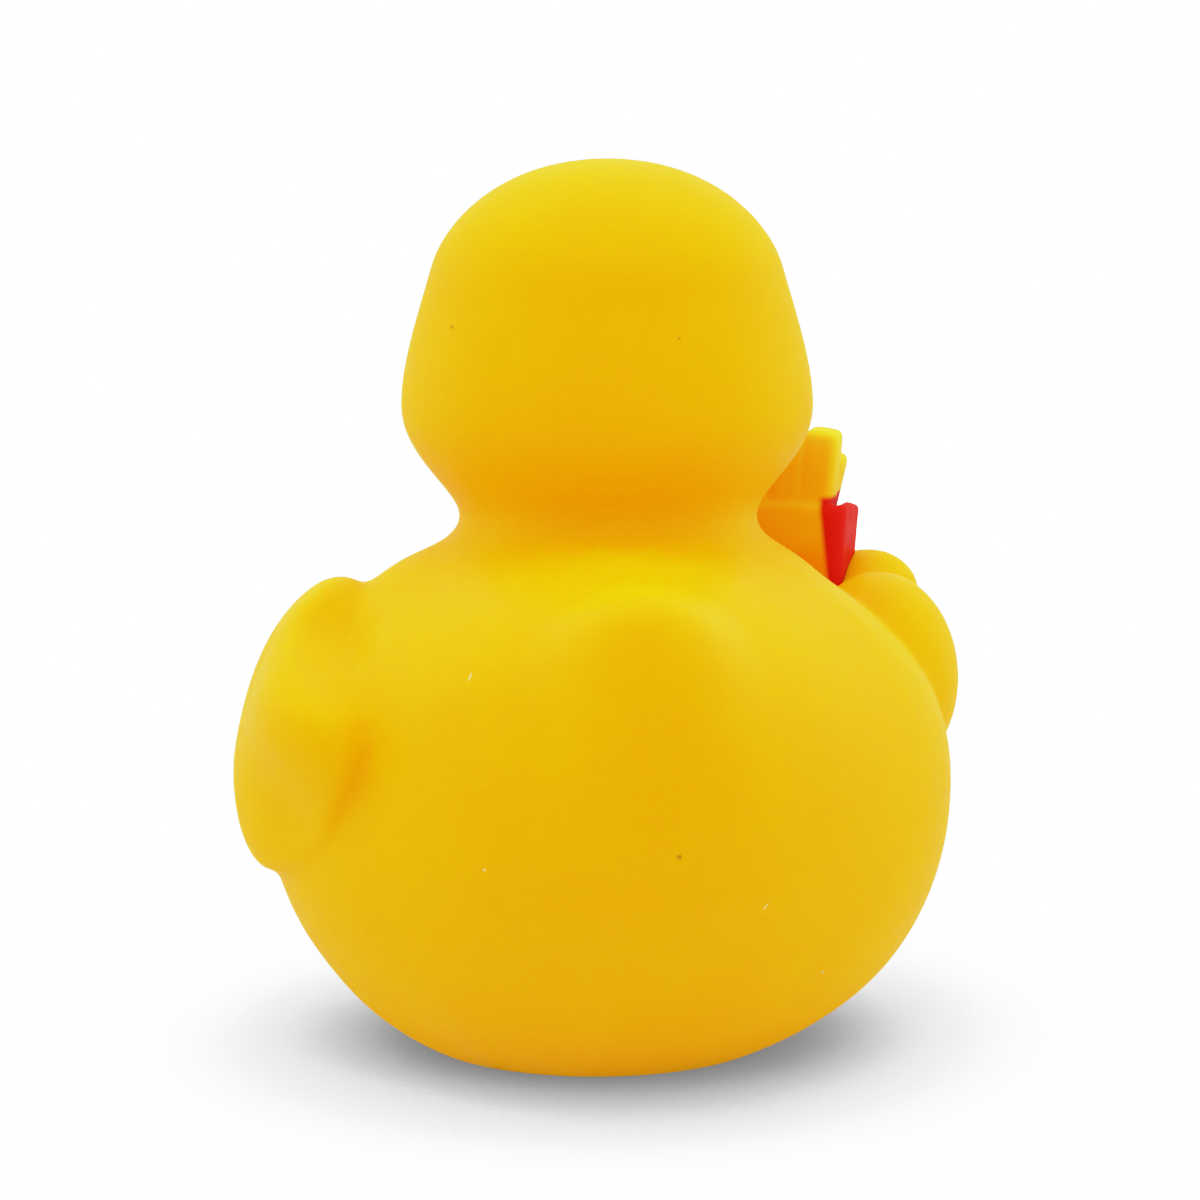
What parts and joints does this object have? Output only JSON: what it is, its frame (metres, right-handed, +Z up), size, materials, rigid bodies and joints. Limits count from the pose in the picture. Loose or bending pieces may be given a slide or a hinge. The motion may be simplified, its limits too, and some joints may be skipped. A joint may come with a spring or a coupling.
{
  "type": "rubber duck",
  "caption": "Yellow bath duck in soft vinyl, round-bodied with an upturned tail, holding a red carton of fries in one raised wing.",
  "frame": {"origin": "centre of the foot, on the surface that the duck stands on", "axes": "+Z up, the duck looks along -Y, its left wing is at +X and the raised wing with the carton at -X"},
  "size_m": [0.0754, 0.0812, 0.09],
  "materials": {
    "vinyl": "satin soft vinyl",
    "squeaker_plastic": "plain moulded"
  },
  "bodies": {
    "root": {"vinyl_duck": "vinyl", "squeaker": "squeaker_plastic"}
  },
  "joints": []
}
